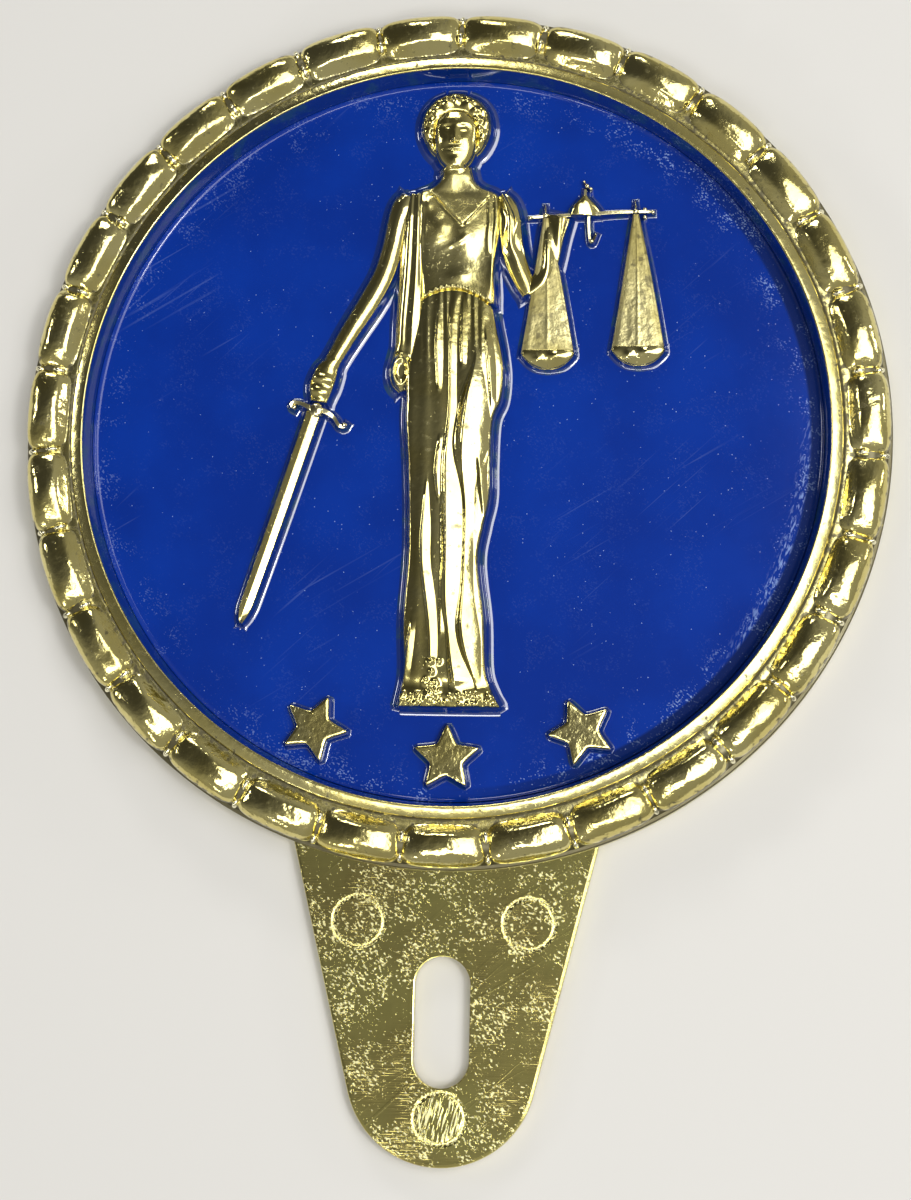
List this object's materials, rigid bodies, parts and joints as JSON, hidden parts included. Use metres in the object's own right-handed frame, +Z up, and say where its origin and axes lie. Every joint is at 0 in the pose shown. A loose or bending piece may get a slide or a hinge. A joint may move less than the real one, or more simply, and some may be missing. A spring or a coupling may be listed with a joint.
{
  "type": "car emblem",
  "caption": "Round beaded medallion with an enamelled relief figure, on a tapered lug with one bolt slot.",
  "frame": {"origin": "centre of the bolt slot on the flat back face", "axes": "+Z up along the slot towards the medallion, -Y towards the viewer out of the face, +X to the right seen from the front"},
  "size_m": [0.108, 0.0068, 0.1435],
  "materials": {
    "gilt": "bright gilt plating, softly worn",
    "lug_gilt": "flat gilt plating, finely scratched and pitted",
    "blue_enamel": "glossy enamel with fine dust and scratches"
  },
  "bodies": {
    "root": {"mounting_plate": "lug_gilt", "enamel_field": "blue_enamel", "rim_ring": "gilt", "rim_beads": "gilt", "figure_head": "gilt", "figure_hair": "gilt", "figure_torso": "gilt", "figure_skirt": "gilt", "figure_cape": "gilt", "sword_arm": "gilt", "sword_hilt": "gilt", "sword_blade": "gilt", "scales_arm": "gilt", "scale_hand": "gilt", "scale_beam": "gilt", "scale_finial": "gilt", "left_pan": "gilt", "right_pan": "gilt", "left_star": "gilt", "middle_star": "gilt", "right_star": "gilt"}
  },
  "joints": []
}
